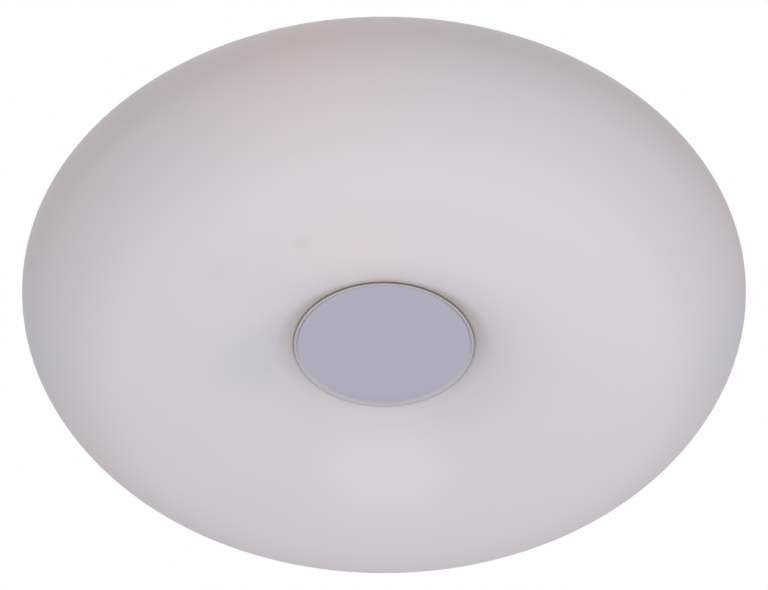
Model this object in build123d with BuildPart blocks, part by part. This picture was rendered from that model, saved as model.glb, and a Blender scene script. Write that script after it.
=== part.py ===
from build123d import *
import os
from math import asin, atan2, cos, degrees, hypot, radians, sin, sqrt, tan

# Flush mount ceiling light: a dimpled opal glass shade on a central threaded stud, held up by a
# round metal cap screwed on from below, under a steel pan with three lampholders and bulbs.
# Millimetres. The ceiling is the plane z = 0, the lamp hangs below it, and the stud is on the Z axis.

os.makedirs("parts", exist_ok=True)

# ---------------------------------------------------------------- driving dimensions
# shade: the outer surface is a chain of tangent arcs, followed both ways from its widest ring
shade_radius = 210.0
equator_drop = 56.0
glass_wall = 3.2
upper_edge_radius = 42.0
upper_flank_radius = 60.5
upper_lip_radius = 60.0
lower_edge_radius = 53.0
lower_flank_radius = 82.0
lower_corner_radius = 52.0
edge_angle = 24.0
flank_angle = 52.0
lip_angle = 84.0
belly_angle = 10.0
shoulder_radius = 84.0
dimple_angle = 42.0
cone_start_radius = 60.2
seat_corner_radius = 9.0
seat_radius = 38.0
rim_rounding = 1.3

# stud on the axis and the fits on it
stud_radius = 5.0
thread_clearance = 0.05
bushing_clearance = 0.5
glass_hole_radius = 11.0
stud_above_pan = 5.0
stud_past_hub_mouth = 6.0

# cap: a spun disc with a dished border, a rolled edge and a short turned-up side
cap_radius = 52.2
cap_sheet = 0.8
cap_border_rise = 1.6
cap_border_slope = 52.0
cap_crease_radius = 1.0
cap_edge_radius = 0.85
cap_side_height = 1.25
cap_side_gap = 0.5
cap_rim_rounding = 0.35
hub_radius = 9.0
hub_flange_radius = 15.0
hub_flange_height = 1.5
gasket_radius = 17.0
gasket_bore_radius = 6.0
gasket_height = 2.0

# pan against the ceiling, inside the shade's top rim
pan_rim_gap = 3.5
pan_rim_width = 7.0
pan_depth = 15.0
pan_sheet = 1.0
pan_wall_run = 6.0
pan_corner_radius = 4.0
pan_rim_corner_radius = 2.0
keyhole_head_radius = 5.0
keyhole_run = 9.0
insulation_inner_radius = 60.0
insulation_edge_gap = 9.0
insulation_height = 5.0
pocket_margin = 1.2

# crossbar on the ceiling box
crossbar_length = 110.0
crossbar_width = 20.0
crossbar_sheet = 1.6
crossbar_drop = 4.0
crossbar_joggle_start = 37.0
crossbar_joggle_end = 33.0
crossbar_corner_radius = 4.0
box_screw_spacing = 88.9
box_slot_length = 12.0
box_slot_width = 5.0
mounting_screw_spacing = 56.0
mounting_screw_radius = 2.0
screw_head_radius = 4.0
screw_head_height = 2.6
ground_screw_offset = 17.0
slot_clearance = 0.4

# hardware on the stud
nut_across_flats = 14.0
nut_height = 4.0
nut_chamfer = 0.6
lock_washer_radius = 9.0
lock_washer_height = 0.8
washer_clearance = 0.2
spacer_radius = 6.5
stop_flange_radius = 18.0
stop_flange_height = 1.5
stop_collar_radius = 9.0
stop_collar_height = 2.0
stop_washer_height = 1.5

# three lampholders round the stud, each with its bulb lying along a tangent
holder_count = 3
first_azimuth = 90.0
bulb_drop = 55.0
bulb_radius = 30.0
bulb_length = 110.0
bulb_wall = 1.0
bulb_neck_radius = 12.4
bulb_neck_bend_radius = 12.0
bulb_neck_depth = 6.0
base_radius = 13.0
base_length = 21.0
base_sheet = 0.6
base_lip_height = 1.2
base_lip_flare = 0.6
insulator_length = 4.5
insulator_tip_radius = 6.0
bulb_tip_radius = 5.0
bulb_tip_height = 2.5
bulb_overhang = 56.0
holder_radius = 19.0
holder_length = 46.0
holder_back_radius = 16.0
holder_back_length = 10.0
holder_rounding = 2.0
holder_gap = 3.0
shell_clearance = 0.35
shell_sheet = 0.6
shell_length = 26.0
shell_inset = 1.5
shell_floor_hole_radius = 8.0
contact_width = 6.0
contact_sheet = 0.5
contact_reach = 5.5
contact_gap = 0.3

# bracket, its rivet and screw, and the two leads of a lampholder
bracket_width = 24.0
bracket_sheet = 1.2
bracket_foot = 25.0
bracket_bend_radius = 2.4
bracket_tail = 11.0
bracket_corner_radius = 5.0
rivet_radius = 1.6
rivet_head_radius = 3.2
rivet_head_height = 1.4
holder_screw_radius = 1.75
holder_screw_head_radius = 3.4
holder_screw_head_height = 2.2
holder_screw_depth = 7.0
lead_radius = 1.1
lead_spread = 8.0
lead_pair_gap = 0.6
lead_hole_clearance = 1.0
lead_straight_run = 12.0
lead_low_height = 13.0
lead_high_height = 28.0
line_lead_lean = 2.5
neutral_lead_advance = 4.5
neutral_lead_inset = 3.0
lead_bend_share = 0.45
grommet_behind_bracket = 14.0
grommet_inset = 14.0
grommet_edge_gap = 16.4
grommet_bore_radius = 3.8
grommet_wall = 1.2
grommet_flange = 1.6
grommet_flange_height = 1.2

# ---------------------------------------------------------------- derived places
shade_axis = Axis.Z
pan_back = pan_sheet - pan_depth
pan_face = -pan_depth


def arc_rise(radius, start_angle, end_angle):
    """Height gained along an arc whose slope goes from one angle to the other."""
    return radius * (cos(radians(start_angle)) - cos(radians(end_angle)))


def arc_run(radius, start_angle, end_angle):
    """Horizontal run along an arc whose slope goes from one angle to the other."""
    return radius * (sin(radians(end_angle)) - sin(radians(start_angle)))


# lowest ring of the shade, from the slopes of the outer arcs, which are steep at the equator
lowest_drop = (
    equator_drop
    + arc_rise(lower_edge_radius, 90 - edge_angle, 90)
    + arc_rise(lower_flank_radius, 90 - flank_angle, 90 - edge_angle)
    + arc_rise(lower_corner_radius, 0, 90 - flank_angle)
)
lowest_ring_radius = (
    shade_radius
    - arc_run(lower_edge_radius, 90 - edge_angle, 90)
    - arc_run(lower_flank_radius, 90 - flank_angle, 90 - edge_angle)
    - arc_run(lower_corner_radius, 0, 90 - flank_angle)
)
# from the lowest ring the surface rises over the belly and the shoulder to the dimple's cone
shoulder_run = arc_run(shoulder_radius, belly_angle, dimple_angle)
belly_radius = (lowest_ring_radius - shoulder_run - cone_start_radius) / sin(radians(belly_angle))
cone_start_z = (
    -lowest_drop
    + arc_rise(belly_radius, 0, belly_angle)
    + arc_rise(shoulder_radius, belly_angle, dimple_angle)
)
cone_end_radius = seat_radius + arc_run(seat_corner_radius, 0, dimple_angle)
cone_end_z = cone_start_z + (cone_start_radius - cone_end_radius) * tan(radians(dimple_angle))
seat_z = cone_end_z + arc_rise(seat_corner_radius, 0, dimple_angle)
seat_inner_z = seat_z + glass_wall
glass_z_at_cap_edge = cone_start_z + (cone_start_radius - cap_radius) * tan(radians(dimple_angle))

# top rim of the shade, with the pan and its insulation inside it
top_rim_radius = (
    shade_radius
    - arc_run(upper_edge_radius, 90 - edge_angle, 90)
    - arc_run(upper_flank_radius, 90 - flank_angle, 90 - edge_angle)
    - arc_run(upper_lip_radius, 90 - lip_angle, 90 - flank_angle)
)
pan_radius = top_rim_radius - pan_rim_gap
pan_floor_radius = pan_radius - pan_rim_width - pan_wall_run
insulation_outer_radius = pan_floor_radius - insulation_edge_gap

# cap, hub and stud, from the glass downwards
cap_side_top_z = glass_z_at_cap_edge - cap_side_gap
cap_lip_z = cap_side_top_z - cap_side_height
cap_face_z = cap_lip_z + cap_border_rise
cap_back_z = cap_face_z + cap_sheet
cap_corner_z = cap_lip_z - cap_edge_radius * (tan(radians(90 + cap_border_slope) / 2) - 1)
cap_crease_place = cap_radius - (cap_face_z - cap_corner_z) / tan(radians(cap_border_slope))
hub_top_z = seat_z - gasket_height
stud_top_z = pan_back + stud_above_pan
stud_end_z = hub_top_z - stud_past_hub_mouth

# hardware stacked on the stud, from the pan downwards
bottom_nut_z = pan_face - lock_washer_height
spacer_top_z = bottom_nut_z - nut_height
stop_flange_z = seat_inner_z + stop_washer_height + stop_flange_height
spacer_end_z = stop_flange_z + stop_collar_height

# places along a lampholder's axis, whose zero is on the holder circle; the bulb points to plus
bulb_centre = bulb_overhang - bulb_radius
tip_end = bulb_overhang - bulb_length
insulator_end = tip_end + bulb_tip_height
base_start = insulator_end + insulator_length
base_end = base_start + base_length
holder_front = base_end - holder_gap
holder_back = holder_front - holder_length
shell_radius = base_radius + shell_clearance + shell_sheet
shell_front = holder_front - shell_inset
shell_back = shell_front - shell_length
contact_front = tip_end - contact_gap
contact_floor = contact_front - contact_reach
pan_above_axis = bulb_drop - pan_depth
bracket_back = holder_back - bracket_sheet
rivet_place = holder_back + bracket_foot / 2
grommet_place = bracket_back - grommet_behind_bracket
grommet_body_radius = grommet_bore_radius + grommet_wall
grommet_flange_radius = grommet_body_radius + grommet_flange
lead_offset = lead_radius + lead_pair_gap / 2
# the lampholders' circle puts the wire bushings on the pan's flat floor
grommet_circle_radius = pan_floor_radius - grommet_edge_gap
holder_circle_radius = grommet_inset + sqrt(grommet_circle_radius**2 - grommet_place**2)

# heading of the line that touches the bulb's crown and the bend into its neck from opposite sides
neck_bend_run = bulb_centre - base_end
neck_bend_height = bulb_neck_radius + bulb_neck_bend_radius
flank_tilt = asin((bulb_radius + bulb_neck_bend_radius) / hypot(neck_bend_run, neck_bend_height))
flank_heading = degrees(atan2(neck_bend_height, -neck_bend_run) + flank_tilt)

# ---------------------------------------------------------------- shade
with BuildPart() as shade_glass:
    with BuildSketch(Plane.XZ):
        with BuildLine():
            upper_edge = JernArc((shade_radius, -equator_drop), (0, 1), upper_edge_radius, edge_angle)
            upper_flank = JernArc(
                upper_edge @ 1, upper_edge % 1, upper_flank_radius, flank_angle - edge_angle
            )
            JernArc(upper_flank @ 1, upper_flank % 1, upper_lip_radius, lip_angle - flank_angle)
            lower_edge = JernArc((shade_radius, -equator_drop), (0, -1), lower_edge_radius, -edge_angle)
            lower_flank = JernArc(
                lower_edge @ 1, lower_edge % 1, lower_flank_radius, edge_angle - flank_angle
            )
            corner = JernArc(lower_flank @ 1, lower_flank % 1, lower_corner_radius, flank_angle - 90)
            belly = JernArc(corner @ 1, corner % 1, belly_radius, -belly_angle)
            shoulder = JernArc(belly @ 1, belly % 1, shoulder_radius, belly_angle - dimple_angle)
            cone = Line(shoulder @ 1, (cone_end_radius, cone_end_z))
            seat_corner = JernArc(cone @ 1, cone % 1, seat_corner_radius, dimple_angle)
            Line(seat_corner @ 1, (glass_hole_radius, seat_z))
            offset(amount=glass_wall, side=Side.LEFT)
        make_face()
    revolve(axis=shade_axis)
    top_rim = shade_glass.edges().filter_by(GeomType.CIRCLE).group_by(Axis.Z)[-2:]
    fillet(top_rim[0] + top_rim[1], rim_rounding)
shade_glass.part.label = "shade_glass"
export_step(shade_glass.part, "parts/shade_glass.step")

with BuildPart() as hole_bushing:
    with BuildSketch(Plane.XY.offset(seat_z)):
        Circle(glass_hole_radius)
        Circle(stud_radius + bushing_clearance, mode=Mode.SUBTRACT)
    extrude(amount=glass_wall)
hole_bushing.part.label = "hole_bushing"
export_step(hole_bushing.part, "parts/hole_bushing.step")

# ---------------------------------------------------------------- cap and gasket
with BuildPart() as gasket:
    with BuildSketch(Plane.XY.offset(seat_z)):
        Circle(gasket_radius)
        Circle(gasket_bore_radius, mode=Mode.SUBTRACT)
    extrude(amount=-gasket_height)
gasket.part.label = "gasket"
export_step(gasket.part, "parts/gasket.step")

with BuildPart() as cap_disc:
    with BuildSketch(Plane.XZ):
        with BuildLine():
            FilletPolyline(
                (0, cap_face_z),
                (cap_crease_place, cap_face_z),
                (cap_radius, cap_corner_z),
                (cap_radius, cap_side_top_z),
                radius=[cap_crease_radius, cap_edge_radius],
            )
            offset(amount=cap_sheet, side=Side.LEFT)
        make_face()
    revolve(axis=shade_axis)
    circles = cap_disc.edges().filter_by(GeomType.CIRCLE)
    side_rims = circles.sort_by(lambda edge: abs(edge.center().Z - cap_side_top_z))[:2]
    fillet(side_rims, cap_rim_rounding)
cap_disc.part.label = "cap_disc"
export_step(cap_disc.part, "parts/cap_disc.step")

with BuildPart() as cap_hub:
    with BuildSketch(Plane.XY.offset(cap_back_z)):
        Circle(hub_radius)
        Circle(stud_radius + thread_clearance, mode=Mode.SUBTRACT)
    extrude(amount=hub_top_z - cap_back_z)
    with BuildSketch(Plane.XY.offset(hub_top_z)):
        Circle(hub_flange_radius)
        Circle(stud_radius + thread_clearance, mode=Mode.SUBTRACT)
    extrude(amount=-hub_flange_height)
cap_hub.part.label = "cap_hub"
export_step(cap_hub.part, "parts/cap_hub.step")

# ---------------------------------------------------------------- stud and what is stacked on it
with BuildPart() as center_stud:
    with BuildSketch(Plane.XY.offset(stud_end_z)):
        Circle(stud_radius)
    extrude(amount=stud_top_z - stud_end_z)
    chamfer(center_stud.edges().filter_by(GeomType.CIRCLE), nut_chamfer)
center_stud.part.label = "center_stud"
export_step(center_stud.part, "parts/center_stud.step")

for nut_name, nut_z in {"stud_nut_top": pan_back, "stud_nut_bottom": spacer_top_z}.items():
    with BuildPart() as stud_nut:
        with BuildSketch(Plane.XY.offset(nut_z)):
            RegularPolygon(nut_across_flats / 2, 6, major_radius=False)
            Circle(stud_radius, mode=Mode.SUBTRACT)
        extrude(amount=nut_height)
        corner_cone = nut_across_flats / sqrt(3) - nut_chamfer
        with BuildSketch(Plane.XY.offset(nut_z)):
            Circle(corner_cone + nut_height)
        extrude(amount=nut_height, taper=45, mode=Mode.INTERSECT)
    stud_nut.part.label = nut_name
    export_step(stud_nut.part, f"parts/{nut_name}.step")

with BuildPart() as stud_lock_washer:
    with BuildSketch(Plane.XY.offset(pan_face)):
        Circle(lock_washer_radius)
        Circle(stud_radius + washer_clearance, mode=Mode.SUBTRACT)
    extrude(amount=-lock_washer_height)
stud_lock_washer.part.label = "stud_lock_washer"
export_step(stud_lock_washer.part, "parts/stud_lock_washer.step")

with BuildPart() as spacer_tube:
    with BuildSketch(Plane.XY.offset(spacer_end_z)):
        Circle(spacer_radius)
        Circle(stud_radius + washer_clearance, mode=Mode.SUBTRACT)
    extrude(amount=spacer_top_z - spacer_end_z)
spacer_tube.part.label = "spacer_tube"
export_step(spacer_tube.part, "parts/spacer_tube.step")

with BuildPart() as shade_stop:
    with BuildSketch(Plane.XY.offset(spacer_end_z)):
        Circle(stop_collar_radius)
        Circle(stud_radius + washer_clearance, mode=Mode.SUBTRACT)
    extrude(amount=-stop_collar_height)
    with BuildSketch(Plane.XY.offset(stop_flange_z)):
        Circle(stop_flange_radius)
        Circle(stud_radius + washer_clearance, mode=Mode.SUBTRACT)
    extrude(amount=-stop_flange_height)
    flange_circles = shade_stop.edges().filter_by(GeomType.CIRCLE).group_by(Axis.Z)[-2]
    fillet(flange_circles.sort_by(SortBy.RADIUS)[-1], stop_flange_height / 2)
shade_stop.part.label = "shade_stop"
export_step(shade_stop.part, "parts/shade_stop.step")

with BuildPart() as stop_washer:
    with BuildSketch(Plane.XY.offset(seat_inner_z)):
        Circle(stop_flange_radius)
        Circle(stud_radius + washer_clearance, mode=Mode.SUBTRACT)
    extrude(amount=stop_washer_height)
stop_washer.part.label = "stop_washer"
export_step(stop_washer.part, "parts/stop_washer.step")

# ---------------------------------------------------------------- pan, insulation and crossbar
holder_planes = []
for holder_index in range(holder_count):
    azimuth = radians(first_azimuth + holder_index * 360 / holder_count)
    outwards = Vector(cos(azimuth), sin(azimuth), 0)
    along = Vector(-sin(azimuth), cos(azimuth), 0)
    centre = outwards * holder_circle_radius - Vector(0, 0, bulb_drop)
    # local x runs along the bulb's axis, local y up to the ceiling and local z outwards
    holder_planes.append(Plane(origin=centre, x_dir=along, z_dir=outwards))


def plan_places(along_axis, inwards):
    """Points in plan, one for each lampholder, at a place along its axis and inwards of it."""
    points = [plane.from_local_coords((along_axis, 0, -inwards)) for plane in holder_planes]
    return [(point.X, point.Y) for point in points]


rivet_points = plan_places(rivet_place, 0)
grommet_points = plan_places(grommet_place, grommet_inset)
keyhole_points = [(-mounting_screw_spacing / 2, 0), (mounting_screw_spacing / 2, 0)]

with BuildPart() as pan:
    with BuildSketch(Plane.XZ):
        with BuildLine():
            FilletPolyline(
                (0, pan_back),
                (pan_floor_radius, pan_back),
                (pan_radius - pan_rim_width, 0),
                (pan_radius, 0),
                radius=[pan_corner_radius, pan_rim_corner_radius],
            )
            offset(amount=pan_sheet, side=Side.RIGHT)
        make_face()
    revolve(axis=shade_axis)
    with BuildSketch(Plane.XY.offset(pan_back)):
        Circle(stud_radius + slot_clearance)
        with Locations(*rivet_points):
            Circle(rivet_radius)
        with Locations(*grommet_points):
            Circle(grommet_body_radius)
        with Locations(*keyhole_points):
            with Locations((0, keyhole_run)):
                Circle(keyhole_head_radius)
            with Locations((0, keyhole_run / 2)):
                Rectangle(2 * (mounting_screw_radius + slot_clearance), keyhole_run)
            Circle(mounting_screw_radius + slot_clearance)
    extrude(amount=-pan_sheet, mode=Mode.SUBTRACT)
pan.part.label = "pan"
export_step(pan.part, "parts/pan.step")

with BuildPart() as insulation_pad:
    with BuildSketch(Plane.XY.offset(pan_back)):
        Circle(insulation_outer_radius)
        Circle(insulation_inner_radius, mode=Mode.SUBTRACT)
    extrude(amount=insulation_height)
    with BuildSketch(Plane.XY.offset(pan_back)):
        with Locations(*rivet_points):
            Circle(rivet_head_radius + pocket_margin)
        with Locations(*grommet_points):
            Circle(grommet_flange_radius + pocket_margin)
    extrude(amount=grommet_flange_height + pocket_margin, mode=Mode.SUBTRACT)
insulation_pad.part.label = "insulation_pad"
export_step(insulation_pad.part, "parts/insulation_pad.step")

with BuildPart() as crossbar:
    with BuildSketch(Plane.XZ):
        with BuildLine():
            Polyline(
                (-crossbar_length / 2, 0),
                (-crossbar_joggle_start, 0),
                (-crossbar_joggle_end, -crossbar_drop),
                (crossbar_joggle_end, -crossbar_drop),
                (crossbar_joggle_start, 0),
                (crossbar_length / 2, 0),
            )
            offset(amount=crossbar_sheet, side=Side.RIGHT)
        make_face()
    extrude(amount=crossbar_width / 2, both=True)
    ends = crossbar.edges().filter_by(Axis.Z).group_by(Axis.X)
    fillet(ends[0] + ends[-1], crossbar_corner_radius)
    with BuildSketch(Plane.XY):
        with GridLocations(box_screw_spacing, 0, 2, 1):
            SlotOverall(box_slot_length, box_slot_width)
        with Locations(*keyhole_points, (ground_screw_offset, 0)):
            Circle(mounting_screw_radius)
        Circle(stud_radius + slot_clearance)
    extrude(amount=-crossbar_drop - crossbar_sheet, mode=Mode.SUBTRACT)
crossbar.part.label = "crossbar"
export_step(crossbar.part, "parts/crossbar.step")

crossbar_face = -crossbar_drop - crossbar_sheet
screws = {
    "mounting_screw_1": (keyhole_points[0], pan_face),
    "mounting_screw_2": (keyhole_points[1], pan_face),
    "ground_screw": ((ground_screw_offset, 0), crossbar_face),
}
for screw_name, (screw_place, head_z) in screws.items():
    with BuildPart() as screw:
        with BuildSketch(Plane.XY.offset(head_z)):
            with Locations(screw_place):
                Circle(screw_head_radius)
        extrude(amount=-screw_head_height)
        fillet(screw.edges().sort_by(Axis.Z)[0], screw_head_height / 2)
        with BuildSketch(Plane.XY.offset(head_z)):
            with Locations(screw_place):
                Circle(mounting_screw_radius)
        extrude(amount=crossbar_sheet - crossbar_drop - head_z)
    screw.part.label = screw_name
    export_step(screw.part, f"parts/{screw_name}.step")

# ---------------------------------------------------------------- three lampholders and bulbs
for number, plane in enumerate(holder_planes, start=1):
    bulb_axis = Axis(plane.origin, plane.x_dir)

    def across(place):
        """The plane square to the bulb's axis at a place along it, facing the bulb's tip."""
        return Plane(origin=plane.from_local_coords((place, 0, 0)), x_dir=plane.z_dir, z_dir=plane.x_dir)

    with BuildPart() as lampholder:
        with BuildSketch(plane):
            with BuildLine():
                Polyline(
                    (contact_floor, 0),
                    (contact_floor, contact_width),
                    (shell_back, contact_width),
                    (shell_back, shell_radius),
                    (holder_front, shell_radius),
                    (holder_front, holder_radius - holder_rounding),
                )
                front = JernArc((holder_front, holder_radius - holder_rounding), (0, 1), holder_rounding, 90)
                Polyline(
                    front @ 1,
                    (holder_back + holder_back_length, holder_radius),
                    (holder_back + holder_back_length, holder_back_radius),
                    (holder_back, holder_back_radius),
                    (holder_back, 0),
                    (contact_floor, 0),
                )
            make_face()
        revolve(axis=bulb_axis)
        with BuildSketch(across(holder_back)):
            Circle(holder_screw_radius)
        extrude(amount=holder_screw_depth, mode=Mode.SUBTRACT)
    lampholder.part.label = f"lampholder_{number}"
    export_step(lampholder.part, f"parts/lampholder_{number}.step")

    with BuildPart() as screw_shell:
        with BuildSketch(across(shell_back)):
            Circle(shell_radius)
        extrude(amount=shell_length)
        with BuildSketch(across(shell_back + shell_sheet)):
            Circle(shell_radius - shell_sheet)
        extrude(amount=shell_length, mode=Mode.SUBTRACT)
        with BuildSketch(across(shell_back)):
            Circle(shell_floor_hole_radius)
        extrude(amount=shell_length, mode=Mode.SUBTRACT)
    screw_shell.part.label = f"screw_shell_{number}"
    export_step(screw_shell.part, f"parts/screw_shell_{number}.step")

    with BuildPart() as center_contact:
        with BuildSketch(plane):
            with BuildLine():
                FilletPolyline(
                    (contact_floor, contact_width / 2),
                    (contact_floor, -contact_width / 2),
                    (contact_front, contact_width / 6),
                    (contact_front, contact_width / 2),
                    radius=[contact_sheet, 2 * contact_sheet],
                )
                offset(amount=contact_sheet, side=Side.LEFT)
            make_face()
        extrude(amount=contact_width / 3, both=True)
    center_contact.part.label = f"center_contact_{number}"
    export_step(center_contact.part, f"parts/center_contact_{number}.step")

    with BuildPart() as bulb_glass:
        with BuildSketch(plane):
            with BuildLine():
                crown = CenterArc((bulb_centre, 0), bulb_radius, 0, flank_heading - 90)
                neck = Line((base_end - bulb_neck_depth, bulb_neck_radius), (base_end, bulb_neck_radius))
                bend = JernArc(neck @ 1, neck % 1, bulb_neck_bend_radius, flank_heading - 180)
                Line(crown @ 1, bend @ 1)
                offset(amount=bulb_wall, side=Side.LEFT)
            make_face()
        revolve(axis=bulb_axis)
    bulb_glass.part.label = f"bulb_glass_{number}"
    export_step(bulb_glass.part, f"parts/bulb_glass_{number}.step")

    with BuildPart() as bulb_base:
        with BuildSketch(across(base_start)):
            Circle(base_radius)
            Circle(bulb_neck_radius, mode=Mode.SUBTRACT)
        extrude(amount=base_length)
        with BuildSketch(across(base_end)):
            Circle(base_radius + base_lip_flare)
            Circle(bulb_neck_radius, mode=Mode.SUBTRACT)
        extrude(amount=-base_lip_height)
    bulb_base.part.label = f"bulb_base_{number}"
    export_step(bulb_base.part, f"parts/bulb_base_{number}.step")

    with BuildPart() as bulb_insulator:
        with BuildSketch(plane):
            with BuildLine():
                Polyline(
                    (insulator_end, 0),
                    (insulator_end, insulator_tip_radius),
                    (base_start, base_radius),
                    (base_start, bulb_neck_radius),
                    (base_start + base_sheet, bulb_neck_radius),
                    (base_start + base_sheet, 0),
                    (insulator_end, 0),
                )
            make_face()
        revolve(axis=bulb_axis)
    bulb_insulator.part.label = f"bulb_insulator_{number}"
    export_step(bulb_insulator.part, f"parts/bulb_insulator_{number}.step")

    with BuildPart() as bulb_tip:
        with BuildSketch(across(insulator_end)):
            Circle(bulb_tip_radius)
        extrude(amount=-bulb_tip_height)
        fillet(bulb_tip.edges().sort_by(bulb_axis)[0], bulb_tip_height / 2)
    bulb_tip.part.label = f"bulb_tip_{number}"
    export_step(bulb_tip.part, f"parts/bulb_tip_{number}.step")

    with BuildPart() as holder_bracket:
        with BuildSketch(plane):
            with BuildLine():
                FilletPolyline(
                    (bracket_back + bracket_foot, pan_above_axis),
                    (bracket_back, pan_above_axis),
                    (bracket_back, -bracket_tail),
                    radius=bracket_bend_radius,
                )
                offset(amount=bracket_sheet, side=Side.LEFT)
            make_face()
        extrude(amount=bracket_width / 2, both=True)
        leg_corners = holder_bracket.edges().filter_by(bulb_axis).group_by(Axis.Z)[0]
        fillet(leg_corners, bracket_corner_radius)
        with BuildSketch(across(bracket_back)):
            Circle(holder_screw_radius)
            with Locations((-lead_spread, 0), (lead_spread, 0)):
                Circle(lead_radius + lead_hole_clearance)
        extrude(amount=bracket_sheet, mode=Mode.SUBTRACT)
        with BuildSketch(Plane.XY.offset(pan_face)):
            with Locations(rivet_points[number - 1]):
                Circle(rivet_radius)
        extrude(amount=-bracket_sheet, mode=Mode.SUBTRACT)
    holder_bracket.part.label = f"holder_bracket_{number}"
    export_step(holder_bracket.part, f"parts/holder_bracket_{number}.step")

    with BuildPart() as holder_screw:
        with BuildSketch(across(bracket_back)):
            Circle(holder_screw_head_radius)
        extrude(amount=-holder_screw_head_height)
        fillet(holder_screw.edges().sort_by(bulb_axis)[0], holder_screw_head_height / 2)
        with BuildSketch(across(bracket_back)):
            Circle(holder_screw_radius)
        extrude(amount=bracket_sheet + holder_screw_depth)
    holder_screw.part.label = f"holder_screw_{number}"
    export_step(holder_screw.part, f"parts/holder_screw_{number}.step")

    with BuildPart() as bracket_rivet:
        with BuildSketch(Plane.XY.offset(pan_back)):
            with Locations(rivet_points[number - 1]):
                Circle(rivet_head_radius)
        extrude(amount=grommet_flange_height)
        with BuildSketch(Plane.XY.offset(pan_back)):
            with Locations(rivet_points[number - 1]):
                Circle(rivet_radius)
        extrude(amount=-pan_sheet - bracket_sheet)
        with BuildSketch(Plane.XY.offset(pan_face - bracket_sheet)):
            with Locations(rivet_points[number - 1]):
                Circle(rivet_head_radius)
        extrude(amount=-rivet_head_height)
        fillet(bracket_rivet.edges().sort_by(Axis.Z)[0], rivet_head_height / 2)
    bracket_rivet.part.label = f"bracket_rivet_{number}"
    export_step(bracket_rivet.part, f"parts/bracket_rivet_{number}.step")

    with BuildPart() as wire_bushing:
        flanges = [(pan_back, grommet_flange_height), (pan_face, -grommet_flange_height)]
        for flange_z, flange_reach in flanges:
            with BuildSketch(Plane.XY.offset(flange_z)):
                with Locations(grommet_points[number - 1]):
                    Circle(grommet_flange_radius)
            extrude(amount=flange_reach)
        with BuildSketch(Plane.XY.offset(pan_back)):
            with Locations(grommet_points[number - 1]):
                Circle(grommet_body_radius)
        extrude(amount=-pan_sheet)
        with BuildSketch(Plane.XY.offset(pan_back + grommet_flange_height)):
            with Locations(grommet_points[number - 1]):
                Circle(grommet_bore_radius)
        extrude(amount=-pan_sheet - 2 * grommet_flange_height, mode=Mode.SUBTRACT)
    wire_bushing.part.label = f"wire_bushing_{number}"
    export_step(wire_bushing.part, f"parts/wire_bushing_{number}.step")

    # each lead leaves the lampholder's back, passes the bracket and turns up through the pan
    lead_end = pan_above_axis + pan_sheet + grommet_flange_height
    lead_turn = holder_back - lead_straight_run
    lead_routes = {
        "line_lead": [
            (holder_back, 0, -lead_spread),
            (lead_turn, 0, -lead_spread),
            (grommet_place - lead_offset, lead_low_height, line_lead_lean - grommet_inset),
            (grommet_place - lead_offset, lead_high_height, -grommet_inset),
            (grommet_place - lead_offset, lead_end, -grommet_inset),
        ],
        "neutral_lead": [
            (holder_back, 0, lead_spread),
            (lead_turn, 0, lead_spread),
            (lead_turn - neutral_lead_advance, lead_low_height, -neutral_lead_inset),
            (grommet_place + lead_offset, lead_high_height, -grommet_inset),
            (grommet_place + lead_offset, lead_end, -grommet_inset),
        ],
    }
    for lead_name, points in lead_routes.items():
        runs = [Vector(*end) - Vector(*start) for start, end in zip(points, points[1:])]
        radii = []
        for run, next_run in zip(runs, runs[1:]):
            half_turn = radians(run.get_angle(next_run) / 2)
            radii.append(lead_bend_share * min(run.length, next_run.length) / tan(half_turn))
        print(f"{lead_name}_{number}", "bend radii", [round(radius, 1) for radius in radii])
        with BuildPart() as lead:
            with BuildLine(plane) as route:
                FilletPolyline(*points, radius=radii)
            with BuildSketch(Plane(origin=route.line @ 0, z_dir=route.line % 0)):
                Circle(lead_radius)
            sweep(path=route.line)
        print(f"  length {route.wire().length:.1f}, volume {lead.part.volume:.1f}")
        lead.part.label = f"{lead_name}_{number}"
        export_step(lead.part, f"parts/{lead_name}_{number}.step")
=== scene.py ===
"""Flush mount ceiling light with a dimpled opal glass shade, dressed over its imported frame.

Sizes held as fields are millimetres, as on a drawing, and become Blender's metres where they are used.
The ceiling is the plane Z = 0, the light hangs below it, and its stud is on the Z axis.
"""

import logging
from dataclasses import dataclass, field
from enum import Enum
from math import atan2, cos, degrees, pi, radians, sin, sqrt, tan
from typing import Sequence

import bpy
from mathutils import Matrix, Vector


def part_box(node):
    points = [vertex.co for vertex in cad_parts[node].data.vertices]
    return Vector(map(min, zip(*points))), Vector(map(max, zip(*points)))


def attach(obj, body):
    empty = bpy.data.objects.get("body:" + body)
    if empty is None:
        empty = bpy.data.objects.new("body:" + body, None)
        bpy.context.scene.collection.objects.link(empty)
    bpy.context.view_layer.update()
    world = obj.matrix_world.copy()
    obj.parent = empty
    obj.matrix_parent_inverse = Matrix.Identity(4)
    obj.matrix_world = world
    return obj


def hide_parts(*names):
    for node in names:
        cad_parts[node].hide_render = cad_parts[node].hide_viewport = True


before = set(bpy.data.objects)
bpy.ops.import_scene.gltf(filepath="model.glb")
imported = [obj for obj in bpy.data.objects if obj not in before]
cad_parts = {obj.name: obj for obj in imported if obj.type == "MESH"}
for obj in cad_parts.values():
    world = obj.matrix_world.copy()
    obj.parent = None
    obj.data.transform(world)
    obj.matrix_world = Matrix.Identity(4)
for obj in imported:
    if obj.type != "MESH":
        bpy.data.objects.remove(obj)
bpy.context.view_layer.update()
MM = 0.001
HOLDERS = (1, 2, 3)
# points nearer to each other than this, in millimetres, become one
MERGE_DISTANCE = 0.004
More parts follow.
